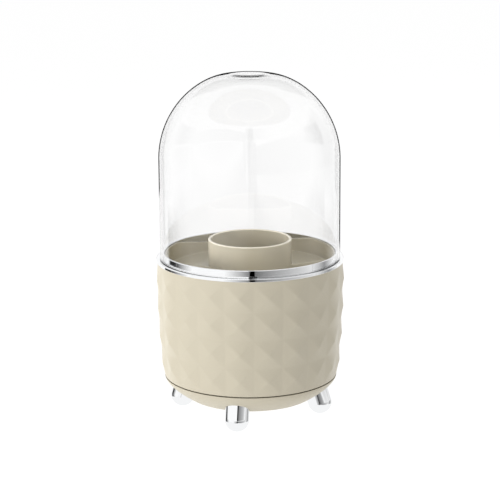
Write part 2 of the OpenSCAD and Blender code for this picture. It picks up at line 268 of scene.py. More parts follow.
def lower_of(a: np.ndarray | float, b: np.ndarray, soft: float) -> np.ndarray:
    """The lower of two heights, rounded where they cross:
    (a + b - sqrt((a - b) ^ 2 + soft ^ 2)) / 2."""
    return (a + b - np.sqrt((a - b) ** 2 + soft ** 2)) / 2


def new_object(name: str, data: ID) -> Object:
    """Makes an object of a mesh, lamp or camera and puts it in the scene."""
    thing = bpy.data.objects.new(name, data)
    bpy.context.scene.collection.objects.link(thing)
    return thing


def finished(surface: Surface, name: str, body: Body, slot: Slot,
             finish: Materials, *replaced: str) -> Object:
    """Makes a piece of a surface and puts it on its body.

    Args:
        surface: The surface, in millimetres.
        name: Name of the piece.
        body: Body that it moves with.
        slot: Material slot of the record.
        finish: The material of each slot.
        *replaced: CAD nodes that it stands for.

    Returns:
        The piece.
    """
    piece = new_object(name, surface.mesh(name))
    piece.data.materials.append(finish[slot])
    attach(piece, body.value)
    if replaced:
        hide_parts(*replaced)
    LOG.info("%s: %d points", name, len(surface.points))
    return piece


def linear(colour: str) -> tuple[float, float, float, float]:
    """Turns an sRGB hex colour to linear light.

    Args:
        colour: Six hex digits after a hash.

    Returns:
        Red, green, blue and an alpha of one.
    """
    values = [int(colour[k:k + 2], 16) / 255 for k in (1, 3, 5)]
    values = [v / 12.92 if v <= 0.04045 else ((v + 0.055) / 1.055) ** 2.4
              for v in values]
    return values[0], values[1], values[2], 1.0


def add_node(tree: NodeTree, kind: str,
             settings: dict[str | int, object] | None = None,
             links: dict[str | int, NodeSocket] | None = None) -> Node:
    """Adds a node, sets it and links its inputs.

    Args:
        tree: The node tree.
        kind: Node type, without its leading ShaderNode.
        settings: Values for properties, or else for inputs, which go by
            their name or number.
        links: Output sockets to link to inputs, by name or number.

    Returns:
        The node.
    """
    node = tree.nodes.new("ShaderNode" + kind)
    for key, value in (settings or {}).items():
        if isinstance(key, str) and hasattr(node, key):
            setattr(node, key, value)
        else:
            node.inputs[key].default_value = value
    for key, socket in (links or {}).items():
        tree.links.new(socket, node.inputs[key])
    return node


def new_material(name: str) -> tuple[Material, NodeTree, NodeSocket]:
    """Starts a material.

    Args:
        name: Name of the material.

    Returns:
        The material, its tree, and the Object coordinates in it.
    """
    material = bpy.data.materials.new(name)
    material.use_nodes = True
    tree = material.node_tree
    tree.nodes.clear()
    return material, tree, add_node(tree, "TexCoord").outputs["Object"]


def principled(material: Material, settings: dict[str, object],
               links: dict[str, NodeSocket], uneven: NodeSocket | None = None,
               span: Pair = (0.0, 1.0), gloss: Pair = (0.0, 1.0)) -> Material:
    """Ends a material with a Principled shader and the output.

    Args:
        material: The material.
        settings: Values for the shader's inputs.
        links: Output sockets to link to them.
        uneven: A number that the roughness follows.
        span: Two of its values.
        gloss: The roughness at these two.

    Returns:
        The material.
    """
    tree = material.node_tree
    shader = add_node(tree, "BsdfPrincipled", settings, links)
    if uneven is not None:
        rough = add_node(tree, "MapRange",
                         {"From Min": span[0], "From Max": span[1],
                          "To Min": gloss[0], "To Max": gloss[1]},
                         {"Value": uneven})
        tree.links.new(rough.outputs["Result"], shader.inputs["Roughness"])
    add_node(tree, "OutputMaterial", links={"Surface": shader.outputs["BSDF"]})
    return material


def raised_noise(tree: NodeTree, where: NodeSocket, size: float,
                 height: float, strength: float, detail: float) -> NodeSocket:
    """The normal of a noise that stands out of the surface.

    Args:
        tree: The node tree.
        where: The coordinates.
        size: Size of the noise, in millimetres.
        height: Its height, in millimetres.
        strength: Share of it that shows.
        detail: Octaves of finer noise in it.

    Returns:
        The normal.
    """
    noise = add_node(tree, "TexNoise",
                     {"Scale": 1 / (size * MM), "Detail": detail},
                     {"Vector": where})
    bump = add_node(tree, "Bump",
                    {"Strength": strength, "Distance": height * MM},
                    {"Height": noise.outputs["Fac"]})
    return bump.outputs["Normal"]


@dataclass(frozen=True)
class MouldedAbs:
    """Injection-moulded ABS with a fine satin texture from the mould.

    To the eye: an even, opaque colour, a broad soft sheen, and a grain that
    shows only as a slight unevenness of the highlights. Above a given height
    its colour turns to the paler crest colour, a painted highlight on the top
    edge.
    """

    name: str
    colour: str
    deep: str
    roughness: float = 0.42
    spread: float = 0.04
    grain: float = 0.35
    grain_height: float = 0.004
    flow: float = 45.0
    specular: float = 0.5
    # The crest colour is a painted highlight on the top edge, above the given
    # height
    crest: str = "#ffffff"
    painted_highlight_z: float = 1000.0
    painted_highlight_blend: float = 0.2

    def material(self) -> Material:
        """Builds the material.

        Grain and flow are the sizes in millimetres of the mould's texture
        and of the cloudy change of colour that moulding leaves.

        Returns:
            The material.
        """
        material, tree, where = new_material(self.name)
        cloud = add_node(tree, "TexNoise",
                         {"Scale": 1 / (self.flow * MM), "Detail": 3.0},
                         {"Vector": where}).outputs["Fac"]
        # A colour Mix has its share at input 0, its colours at 6 and 7 and
        # its result at output 2
        tint = add_node(tree, "Mix",
                        {"data_type": "RGBA", 6: linear(self.colour),
                         7: linear(self.deep)}, {0: cloud})
        # Painted highlight: above the given height the colour blends into the
        # paler crest colour, which stands in for light on the top edge
        height = add_node(tree, "SeparateXYZ", links={"Vector": where})
        above = add_node(tree, "MapRange",
                         {"From Min": (self.painted_highlight_z - self.painted_highlight_blend) * MM,
                          "From Max": self.painted_highlight_z * MM},
                         {"Value": height.outputs["Z"]})
        colour = add_node(tree, "Mix",
                          {"data_type": "RGBA", 7: linear(self.crest)},
                          {0: above.outputs["Result"], 6: tint.outputs[2]})
        # ABS refracts at about 1.53
        return principled(
            material, {"IOR": 1.53, "Specular IOR Level": self.specular},
            {"Base Color": colour.outputs[2],
             "Normal": raised_noise(tree, where, self.grain,
                                    self.grain_height, 0.5, 2.0)},
            cloud, (0.3, 0.7),
            (self.roughness - self.spread, self.roughness + self.spread))


@dataclass(frozen=True)
class VacuumChrome:
    """Bright chrome plated on moulded plastic.

    To the eye: a near mirror, a little bluish, with a faint long wave that
    the moulding under it leaves.
    """

    name: str = "chrome_plated_abs"
    colour: str = "#fafbfc"
    roughness: float = 0.03
    wave: float = 9.0
    wave_height: float = 0.004

    def material(self) -> Material:
        """Builds the material. Wave is the length of the moulding's wave,
        in millimetres, and the haze is three times as long.

        Returns:
            The material.
        """
        material, tree, where = new_material(self.name)
        haze = add_node(tree, "TexNoise",
                        {"Scale": 1 / (3 * self.wave * MM), "Detail": 4.0},
                        {"Vector": where})
        return principled(
            material, {"Base Color": linear(self.colour), "Metallic": 1.0},
            {"Normal": raised_noise(tree, where, self.wave, self.wave_height,
                                    0.3, 1.0)},
            haze.outputs["Fac"],
            gloss=(self.roughness * 0.6, self.roughness * 1.4))


@dataclass(frozen=True)
class ClearAcrylic:
    """Clear injection-moulded acrylic (PMMA).

    To the eye: colourless, water clear, with sharp reflections and darker
    lines where the wall is seen edge on.
    """

    name: str = "clear_acrylic"
    colour: str = "#ffffff"
    roughness: float = 0.01
    wave: float = 30.0
    wave_height: float = 0.006

    def material(self) -> Material:
        """Builds the material. Wave is the length of the moulding's wave,
        in millimetres.

        Returns:
            The material.
        """
        material, tree, where = new_material(self.name)
        # Acrylic refracts at 1.49
        return principled(
            material,
            {"Base Color": linear(self.colour), "Transmission Weight": 1.0,
             "Roughness": self.roughness, "IOR": 1.49},
            {"Normal": raised_noise(tree, where, self.wave, self.wave_height,
                                    0.2, 1.0)})


@dataclass(frozen=True)
class TurnedSteel:
    """Bright steel, turned or pressed, for races, balls and screws.

    To the eye: grey metal with fine rings from the tool round the Z axis.
    """

    name: str = "turned_steel"
    colour: str = "#a8acb1"
    roughness: float = 0.28
    spread: float = 0.08
    ring: float = 0.6

    def material(self) -> Material:
        """Builds the material. Ring is the feed of the turning tool, in
        millimetres.

        Returns:
            The material.
        """
        material, tree, where = new_material(self.name)
        # At scale 1 the wave texture repeats 10 / pi times, near 3.14, in a
        # unit
        rings = add_node(tree, "TexWave",
                         {"wave_type": "RINGS", "rings_direction": "Z",
                          "Scale": 1 / (self.ring * MM * 3.14),
                          "Distortion": 0.4, "Detail": 2.0},
                         {"Vector": where})
        return principled(
            material, {"Base Color": linear(self.colour), "Metallic": 1.0},
            {}, rings.outputs["Fac"],
            gloss=(self.roughness - self.spread, self.roughness + self.spread))


@dataclass(frozen=True)
class NaturalAcetal:
    """Natural acetal, moulded, for the ball cage and the bush.

    To the eye: milky white with a waxy sheen.
    """

    name: str = "natural_acetal"
    colour: str = "#e9e6dc"
    roughness: float = 0.38
    spread: float = 0.06
    grain: float = 1.2

    def material(self) -> Material:
        """Builds the material. Grain is the size of its cloudiness, in
        millimetres.

        Returns:
            The material.
        """
        material, tree, where = new_material(self.name)
        cloud = add_node(tree, "TexNoise", {"Scale": 1 / (self.grain * MM)},
                         {"Vector": where})
        return principled(
            material, {"Base Color": linear(self.colour),
                       "Subsurface Weight": 0.15,
                       "Subsurface Scale": 1.5 * MM},
            {}, cloud.outputs["Fac"],
            gloss=(self.roughness - self.spread, self.roughness + self.spread))


@dataclass(frozen=True)
class Finishes:
    """One material for each slot."""

    shell: MouldedAbs = MouldedAbs("beige_satin_abs", "#cfc7b3", "#cbc3ae",
                                   0.36)
    pan: MouldedAbs = MouldedAbs("beige_satin_abs_base", "#cfc7b3", "#cbc3ae")
    liner: MouldedAbs = MouldedAbs("beige_fine_abs", "#c0b8a2", "#bbb39c",
                                   0.24, specular=0.25)
    chrome: VacuumChrome = VacuumChrome()
    steel: TurnedSteel = TurnedSteel()
    natural: NaturalAcetal = NaturalAcetal()
    dome: ClearAcrylic = ClearAcrylic()

    def built(self) -> Materials:
        """Builds the material of each slot."""
        return {slot: getattr(self, slot.value).material() for slot in Slot}


@dataclass
class Drum:
    """The shell with its diamond studs, and what is moulded inside it."""

    edge_r: float = 74.6
    seam_z: float = 31.9
    height: float = 94.3
    wall: float = 2.0
    seam_draw: float = 4.7
    draw_power: float = 2.45
    columns: int = 20
    rows: int = 4
    relief: float = 1.5
    edge_band: float = 2.2
    seam_band: float = 0.7
    stud_turn: float = 4.2
    mouth_r: float = 70.3
    ledge_r: float = 65.3
    ledge_z: float = 116.9
    ledge_t: float = 1.6
    edge_round: float = 0.4
    steps: int = 12
    wall_rows: int = 15
    boss_r: float = 3.6
    boss_bore_r: float = 1.6
    boss_h: float = 14.0
    boss_circle_r: float = 61.0
    boss_z: float = 35.5
    boss_count: int = 4

    @property
    def top_z(self) -> float:
        """Height of the shell's upper edge."""
        return self.seam_z + self.height

    def base_r(self, z: np.ndarray | float) -> np.ndarray | float:
        """Radius of the grooves: edge_r - seam_draw t ^ draw_power, with t
        from the upper edge (0) to the seam (1)."""
        t = (self.top_z - z) / self.height
        return self.edge_r - self.seam_draw * t ** self.draw_power

    def cavity_r(self, z: np.ndarray | float) -> np.ndarray | float:
        """Radius of the inside, a wall behind the grooves."""
        return (self.base_r(z) * math.cos(math.pi / self.columns / 2)
                - self.wall)

    def studs(self) -> tuple[np.ndarray, np.ndarray, np.ndarray]:
        """Radius of the diamond studs, on a grid that their creases follow.

        Each stud is four-sided. With u and v the distances from its tip,
        across and up, each 1 at the grooves, and s the greater of the two,
        the radius is R cos(w) / cos(s h - w). R is the tip's radius at that
        height, h half a column's angle, and w the lean at which the radius
        comes down by the relief where s is 1. Where u is the greater, this
        is an upright plane beside the tip, and where v is, a turned face
        above or below it. Each point is then averaged with its four
        neighbours, which rounds the creases to about half a millimetre.

        Returns:
            The radii, rows by columns, the heights of the rows, and for
            each cell whether its crease runs up from its first corner.
        """
        n = self.steps
        level = np.arange(2 * self.rows * n + 1)[:, None] / n
        place = np.arange(2 * self.columns * n)[None, :] / n
        pitch = (self.height - self.edge_band - self.seam_band) / self.rows
        z = self.seam_z + self.seam_band + level * pitch / 2
        share = np.maximum(np.abs(level % 2 - 1), np.abs((place + 1) % 2 - 1))
        tip = self.base_r(z) + self.relief
        half = math.pi / self.columns
        low = 1 - self.relief / tip
        lean = np.arctan2(1 - low * math.cos(half), low * math.sin(half))
        r = tip * np.cos(lean) / np.cos(share * half - lean)
        beside = (np.roll(r, 1, axis=1) + np.roll(r, -1, axis=1))[1:-1]
        r[1:-1] = 0.5 * r[1:-1] + 0.125 * (beside + r[:-2] + r[2:])
        rising = (np.floor(level[:-1]) + np.floor(place)) % 2 == 1
        return r, z[:, 0], rising

    def inside(self) -> np.ndarray:
        """Outline of the upper edge and the inside, from the top down.

        Returns:
            Points (r, z) from the upper edge, over the mouth and its ledge,
            to the inner edge at the seam.
        """
        turn_z = (self.ledge_z - self.ledge_t - self.cavity_r(self.top_z)
                  + self.ledge_r)
        z = np.linspace(turn_z, self.seam_z, self.wall_rows)
        wall = np.stack([self.cavity_r(z), z], 1)
        e = self.edge_round
        ledge = rounded([
            (self.edge_r, self.top_z, 0),
            (self.mouth_r, self.top_z, e),
            (self.mouth_r, self.ledge_z, e),
            (self.ledge_r, self.ledge_z, e),
            (self.ledge_r, self.ledge_z - self.ledge_t, e),
            (float(wall[0, 0]), float(wall[0, 1]), 0)], closed=False)
        return np.concatenate([ledge[1:-1], wall])

    def shell(self) -> Surface:
        """The whole shell as one closed grid of rows that follow each other.

        The studs are followed by the plain band and the rounded edge above
        them, the turned inside, and the edge and the band below them. The
        last row joins the first.

        Returns:
            The surface.
        """
        studs, heights, rising = self.studs()
        e = self.edge_round
        over = arc((self.edge_r - e, self.top_z - e), e, 0, 90, 5)
        foot_r = float(self.base_r(self.seam_z))
        under = arc((foot_r - e, self.seam_z + e), e, -90, 0, 5)
        band_z = np.linspace(heights[-1], over[0, 1], 4)[1:-1]
        band = np.stack([self.base_r(band_z), band_z], axis=1)
        around = np.concatenate([band, over, self.inside(), under])
        plain = np.repeat(around[:, :1], studs.shape[1], axis=1)
        r = np.concatenate([studs, plain])
        z = np.concatenate([heights, around[:, 1]])
        angle = (math.radians(self.stud_turn)
                 + np.arange(r.shape[1]) * 2 * math.pi / r.shape[1])
        points = np.stack([r * np.cos(angle), r * np.sin(angle),
                           np.broadcast_to(z[:, None], r.shape)], axis=-1)
        quads = grid_quads(*r.shape, True, True)
        first = np.ones(r.shape, bool)
        first[:len(rising)] = rising
        up, down = quads[first.ravel()], quads[~first.ravel()]
        tris = np.concatenate([up[:, [0, 1, 2]], up[:, [0, 2, 3]],
                               down[:, [0, 1, 3]], down[:, [1, 2, 3]]])
        return Surface(points.reshape(-1, 3), tris=tris)

    def bosses(self) -> Surface:
        """The screw bosses: a rounded outline turned about each axis.

        Returns:
            The surface.
        """
        top = self.boss_z + self.boss_h
        one = revolve(rounded([
            (self.boss_bore_r, self.boss_z, 0), (self.boss_r, self.boss_z, 0),
            (self.boss_r, top, 0.4), (self.boss_bore_r, top, 0.3)], 4), 48)
        k = np.arange(self.boss_count)[:, None, None]
        a = (k + 0.5) * 2 * math.pi / self.boss_count
        shift = self.boss_circle_r * np.concatenate(
            [np.cos(a), np.sin(a), np.zeros_like(a)], axis=-1)
        return Surface((one.points + shift).reshape(-1, 3),
                       (one.quads + k * len(one.points)).reshape(-1, 4))

    def build(self, finish: Materials) -> None:
        """Makes the shell and its bosses."""
        finished(self.shell(), "drum_shell", Body.DRUM, Slot.SHELL, finish,
                 "body_shell")
        finished(self.bosses(), "shell_bosses", Body.DRUM, Slot.SHELL, finish)


@dataclass
class TrimRing:
    """The chromed ring: flange, collar and skirt in one section."""

    bore_r: float = 68.8
    flange_r: float = 75.4
    flange_t: float = 2.2
    collar_wall: float = 1.4
    skirt_wall: float = 1.4
    skirt_h: float = 6.5
    shell_top_z: float = 126.2
    collar_z: float = 134.3

    def section(self) -> np.ndarray:
        """Closed section with rounded edges.

        Returns:
            Points (r, z).
        """
        top = self.shell_top_z + self.flange_t
        low = self.shell_top_z - self.skirt_h
        return rounded([
            (self.bore_r, low, 0.35),
            (self.bore_r + self.skirt_wall, low, 0.35),
            (self.bore_r + self.skirt_wall, self.shell_top_z, 0.1),
            (self.flange_r, self.shell_top_z, 0.3),
            (self.flange_r, top, 0.3),
            (self.bore_r + self.collar_wall, top, 0.15),
            (self.bore_r + self.collar_wall, self.collar_z, 0.55),
            (self.bore_r, self.collar_z, 0.55)], 8)

    def build(self, finish: Materials) -> None:
        """Makes the ring."""
        finished(revolve(self.section(), 384), "mouth_ring", Body.DRUM,
                 Slot.CHROME, finish, "trim_ring")


@dataclass
class Dome:
    """The clear dome with the shallow dish at its crown."""

    radius: float = 72.5
    wall: float = 2.0
    foot_z: float = 128.6
    spring_z: float = 209.1
    rise: float = 72.0
    dish_z: float = 279.5
    dish_curve: float = 41.7
    dish_soft: float = 9.0
    edge_round: float = 0.5
    crown_steps: int = 90

    def section(self) -> np.ndarray:
        """Open section from the crown outside to the crown inside.

        The crown is the ellipse r = radius cos t, z = spring + rise sin t,
        held down by the dish z = dish_z + r ^ 2 / (2 dish_curve). Where the
        two cross, the shoulder is rounded, as moulding leaves it. The
        inside lies a wall behind it.

        Returns:
            Points (r, z), both ends on the axis.
        """
        t = np.radians(np.linspace(90, 0, self.crown_steps + 1))
        r = self.radius * np.cos(t)
        z = lower_of(self.spring_z + self.rise * np.sin(t),
                     self.dish_z + r ** 2 / (2 * self.dish_curve),
                     self.dish_soft)
        outer = np.stack([r, z], axis=1)
        step = np.gradient(outer, axis=0)
        normal = np.stack([-step[:, 1], step[:, 0]], axis=1)
        normal /= np.linalg.norm(normal, axis=1, keepdims=True)
        inner = (outer - self.wall * normal)[::-1]
        bore = self.radius - self.wall
        foot = rounded([
            (self.radius, self.spring_z, 0),
            (self.radius, self.foot_z, self.edge_round),
            (bore, self.foot_z, self.edge_round),
            (bore, self.spring_z, 0)], 6, closed=False)
        outer[0, 0] = inner[-1, 0] = 0
        return np.concatenate([outer[:-1], foot, inner[1:]])

    def build(self, finish: Materials) -> None:
        """Makes the dome, which throws no shadow on the tray."""
        dome = finished(revolve(self.section(), 480, closed=False),
                        "clear_dome", Body.DOME, Slot.DOME, finish,
                        "dome_cover")
        dome.visible_shadow = False


@dataclass
class Tray:
    """The tray: wall with two finger scoops, floor, socket, partitions."""

    radius: float = 68.5
    wall: float = 1.5
    floor_z: float = 119.3
    floor_t: float = 2.2
    rim_z: float = 133.5
    rim_round: float = 0.7
    collar_z: float = 134.3
    shank_r: float = 33.0
    socket_wall: float = 2.0
    socket_h: float = 6.0
    partitions: int = 3
    partition_t: float = 2.0
    partition_dip: float = 9.6
    partition_drop: float = 1.5
    partition_shift: float = 0.3
    partition_soft: float = 0.3
    scoop_depth: float = 9.1
    scoop_curve_r: float = 200.0
    scoop_soft: float = 0.6
    turn: float = 108.0
    fillet: float = 1.2

    def scoop_z(self, offset: np.ndarray) -> np.ndarray:
        """Height of the scoop's curve at a distance across its middle:
        collar - depth + R - sqrt(R ^ 2 - offset ^ 2)."""
        r = self.scoop_curve_r
        return (self.collar_z - self.scoop_depth + r
                - np.sqrt(r ** 2 - offset ** 2))

    def bowl(self, segments: int = 360) -> Surface:
        """Wall, floor and socket as one closed ring.

        It is a turned section whose rim rises or falls with the angle a:
        its height is the lower of the plain rim and the scoop's curve at
        the offset radius sin(a - turn), softened where they meet.

        Args:
            segments: Steps round the axis.

        Returns:
            The surface.
        """
        under = self.floor_z - self.floor_t
        bore = self.radius - self.wall
        socket = self.shank_r + self.socket_wall
        surface = revolve(rounded([
            (self.shank_r, under - self.socket_h, 0.3),
            (socket, under - self.socket_h, 0.5),
            (socket, under, 0.8),
            (self.radius, under, 0.8),
            (self.radius, self.rim_z, self.rim_round),
            (bore, self.rim_z, self.rim_round),
            (bore, self.floor_z, self.fillet),
            (self.shank_r, self.floor_z, 0.3)], 6), segments)
        a = np.linspace(0, 2 * math.pi, segments, endpoint=False)
        scoop = self.scoop_z(self.radius
                             * np.sin(a - math.radians(self.turn)))
        lift = lower_of(self.rim_z, scoop, self.scoop_soft) - self.rim_z
        points = surface.points.reshape(-1, segments, 3)
        middle = (self.floor_z + self.fillet + self.rim_z - self.rim_round) / 2
        points[..., 2] += np.where(points[..., 2] > middle, lift[None], 0)
        return Surface(points.reshape(-1, 3), surface.quads)

    def partition(self, angle: float) -> Surface:
        """One partition: a rounded strip whose top falls to the tube.

        Across, the section is a U turned over, with a foot that flares by a
        share of the fillet. Along the radius x, its top edge is the straight
        line between its two ends, and where the scoops cross it, no higher
        than their curve.

        Args:
            angle: Direction of the partition, in degrees.

        Returns:
            The surface.
        """
        start = self.shank_r + self.partition_shift
        end = self.radius - self.wall + self.partition_shift
        x = np.linspace(start, end, 24)
        line = (self.collar_z - self.partition_dip
                + (x - start) / (end - start)
                * (self.partition_dip - self.partition_drop))
        across = math.sin(math.radians(angle - self.turn))
        top = lower_of(line, self.scoop_z(x * across), self.partition_soft)
        half = self.partition_t / 2
        f = self.fillet * 0.7
        low = arc((-half - f, f), f, -90, 0, 5)
        crest = arc((0, 0), half, 180, 0, 12)
        high = arc((half + f, f), f, 180, 270, 5)
        y = np.concatenate([low[:, 0], crest[:, 0], high[:, 0]])
        foot, head = np.zeros(len(low)), np.ones(len(crest))
        base = np.concatenate([low[:, 1], 0 * head, high[:, 1]])
        rise = np.concatenate([foot, crest[:, 1] - half, foot])
        tall = np.concatenate([foot, head, foot])
        z = (self.floor_z + base[None] + rise[None]
             + tall[None] * (top - self.floor_z)[:, None])
        points = np.stack([np.broadcast_to(x[:, None], z.shape),
                           np.broadcast_to(y[None], z.shape), z], axis=-1)
        quads = grid_quads(len(x), len(y), False, False)
        return Surface(turned(points, angle).reshape(-1, 3), quads[:, ::-1])

    def build(self, finish: Materials) -> None:
        """Makes the bowl and the partitions.

        Args:
            finish: The material of each slot.
        """
        finished(self.bowl(), "tray_bowl", Body.TRAY, Slot.LINER, finish,
                 "tray_liner")
        for k in range(self.partitions):
            angle = self.turn + k * 360 / self.partitions
            finished(self.partition(angle), f"tray_partition_{k + 1}",
                     Body.TRAY, Slot.LINER, finish)


@dataclass
class BrushTube:
    """The deep round cup in the middle of the tray, in its own finish."""

    # The paler crest colour on the rim's top, from 143.35 mm up, is a painted
    # highlight
    plastic: MouldedAbs = MouldedAbs("beige_tube_abs", "#cec6b1", "#c9c1ac",
                                     0.16, crest="#f7f0dd", painted_highlight_z=143.35)
    radius: float = 33.55
    wall: float = 2.25
    shank_r: float = 32.9
    foot_z: float = 45.0
    shoulder_z: float = 119.3
    top_z: float = 143.9
    floor_t: float = 2.0
    lip: float = 0.7

    def section(self) -> np.ndarray:
        """Open section from the underside's middle to the floor's middle.

        Returns:
            Points (r, z), both ends on the axis.
        """
        bore = self.radius - self.wall
        floor_z = self.foot_z + self.floor_t
        return rounded([
            (0, self.foot_z, 0), (self.shank_r, self.foot_z, 1.5),
            (self.shank_r, self.shoulder_z, 0.1),
            (self.radius, self.shoulder_z, 0.2),
            (self.radius, self.top_z, self.lip), (bore, self.top_z, self.lip),
            (bore, floor_z, 2.0), (0, floor_z, 0)], 10, closed=False)

    def build(self, finish: Materials) -> None:
        """Makes the tube."""
        finished(revolve(self.section(), 256, closed=False), "brush_cup",
                 Body.TRAY, Slot.LINER, {Slot.LINER: self.plastic.material()},
                 "brush_tube")


@dataclass
class Feet:
    """Four chromed bullet feet that lean outwards."""

    diameter: float = 19.6
    length: float = 25.0
    splay: float = 16.0
    circle_r: float = 57.2
    flat: float = 0.35
    top_round: float = 0.6
    turns: tuple[tuple[str, float], ...] = (
        ("front", 270), ("right", 0), ("rear", 90), ("left", 180))

    def bullet(self, turn: float) -> Surface:
        """One foot: a round end and a straight side, turned, leaned by the
        splay and moved to its place. What would reach below the floor is
        lifted to it, which makes the flat.

        Args:
            turn: Direction of the foot from the middle, in degrees.

        Returns:
            The surface.
        """
        r = self.diameter / 2
        top = self.length - r
        end = arc((0, 0), r, -90, 0, 40)
        end[0, 0] = 0
        side = rounded([(r, 0, 0), (r, top, self.top_round), (0, top, 0)], 4,
                       closed=False)
        surface = revolve(np.concatenate([end, side[1:]]), 96, closed=False)
        lean = math.radians(-self.splay)
        c, s = math.cos(lean), math.sin(lean)
        points = surface.points @ np.array([[c, 0, -s], [0, 1, 0], [s, 0, c]])
        points = turned(points + [self.circle_r, 0, r - self.flat], turn)
        points[:, 2] = np.maximum(points[:, 2], 0)
        return Surface(points, surface.quads, surface.tris)

    def build(self, finish: Materials) -> None:
        """Makes the four feet."""
        for name, turn in self.turns:
            finished(self.bullet(turn), f"bullet_{name}", Body.BASE,
                     Slot.CHROME, finish, f"foot_{name}")


@dataclass
class CadNodes:
    """The CAD nodes that are shown as they are, each with its finish."""

    crease: float = 24.0
    weld: float = 1e-6
    nodes: tuple[tuple[Slot, str], ...] = (
        (Slot.PAN, "base_pan turntable_plate"),
        (Slot.STEEL, "foot_screws lower_race upper_race bearing_balls"),
        (Slot.STEEL, "pivot_stud pivot_washer pivot_nut plate_screws"),
        (Slot.NATURAL, "ball_cage hub_bush"))

    def build(self, finish: Materials) -> None:
        """Gives each node its finish, and its round faces smooth shading.

        Args:
            finish: The material of each slot.
        """
        pairs = [(name, slot) for slot, names in self.nodes
                 for name in names.split()]
        for name, slot in pairs:
            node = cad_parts[name]
            node.data.materials.clear()
            node.data.materials.append(finish[slot])
            count = len(node.data.polygons)
            node.data.polygons.foreach_set("use_smooth", np.ones(count, bool))
            weld = node.modifiers.new("weld", "WELD")
            weld.merge_threshold = self.weld
            split = node.modifiers.new("edges", "EDGE_SPLIT")
            split.split_angle = math.radians(self.crease)
            LOG.info("%s: %d faces", name, count)


@dataclass(frozen=True)
class ShadeCloth:
    """Black cloth on a card, which lets light through by its share.

    Width and heights, the lower and the upper, are the card's, in metres.
    The darkness goes in a straight line from left to right, and fades to
    nothing over the soft shares of the half width and half height.

    To the eye: black, and only in mirror images, so that nothing of it is
    seen straight through the dome.
    """

    name: str
    width: float
    heights: Pair
    left: float
    right: float
    soft: float
    soft_z: float = 0.0

    @staticmethod
    def _fade(tree: NodeTree, value: NodeSocket, low: float, high: float,
              soft: float) -> NodeSocket:
        """One in the middle of a range, falling to nothing at its ends.

        Args:
            tree: The node tree.
            value: The number that the range is of.
            low: Lower end of the range.
            high: Upper end of the range.
            soft: Share of its half over which it falls.

        Returns:
            A number from 0 to 1.
        """
        half = (high - low) / 2
        off = add_node(tree, "Math",
                       {"operation": "SUBTRACT", 1: (low + high) / 2},
                       {0: value})
        out = add_node(tree, "Math", {"operation": "ABSOLUTE"},
                       {0: off.outputs[0]})
        fade = add_node(tree, "MapRange",
                        {"interpolation_type": "SMOOTHSTEP",
                         "From Min": half * (1 - soft),
                         "From Max": half + 1e-4,
                         "To Min": 1.0, "To Max": 0.0},
                        {"Value": out.outputs[0]})
        return fade.outputs["Result"]

    def material(self) -> Material:
        """Builds the material.

        Returns:
            The material.
        """
        half = self.width / 2
        material, tree, where = new_material(self.name)
        place = add_node(tree, "SeparateXYZ", links={"Vector": where}).outputs
        ramp = add_node(tree, "MapRange",
                        {"From Min": -half, "From Max": half,
                         "To Min": self.left, "To Max": self.right},
                        {"Value": place["X"]})
        ray = add_node(tree, "LightPath").outputs
        direct = add_node(tree, "Math", {"operation": "LESS_THAN", 1: 0.5},
                          {0: ray["Diffuse Depth"]})
        mirrored = add_node(tree, "Math",
                            {"operation": "GREATER_THAN", 1: 0.5},
                            {0: ray["Glossy Depth"]})
        share = ramp.outputs["Result"]
        wide = self._fade(tree, place["X"], -half, half, self.soft)
        tall = self._fade(tree, place["Z"], *self.heights, self.soft_z)
        for factor in (wide, tall, direct.outputs[0], mirrored.outputs[0]):
            share = add_node(tree, "Math", {"operation": "MULTIPLY"},
                             {0: share, 1: factor}).outputs[0]
        clear = add_node(tree, "BsdfTransparent")
        black = add_node(tree, "Emission", {"Strength": 0.0})
        mix = add_node(tree, "MixShader", links={
            0: share, 1: clear.outputs[0], 2: black.outputs[0]})
        add_node(tree, "OutputMaterial", links={"Surface": mix.outputs[0]})
        return material


@dataclass(frozen=True)
class Flag:
    """A flat upright dark card round the object.

    It covers the directions of its span, in degrees from the camera, at its
    heights, in metres. Left and right are its darkness at the two ends, and
    soft and soft_z the shares of its half width and half height that fade.
    """

    name: str
    span: Pair
    heights: Pair
    left: float
    right: float
    soft: float = 0.0
    distance: float = 0.9
    soft_z: float = 0.32


LOW = (-0.34, 0.0)
HIGH = (-0.05, 0.8)


def rectangle(half: float, low: float, high: float) -> np.ndarray:
    """Corners of a rectangle from -half to half, and from low to high."""
    return np.array([(-half, low), (half, low), (half, high), (-half, high)])


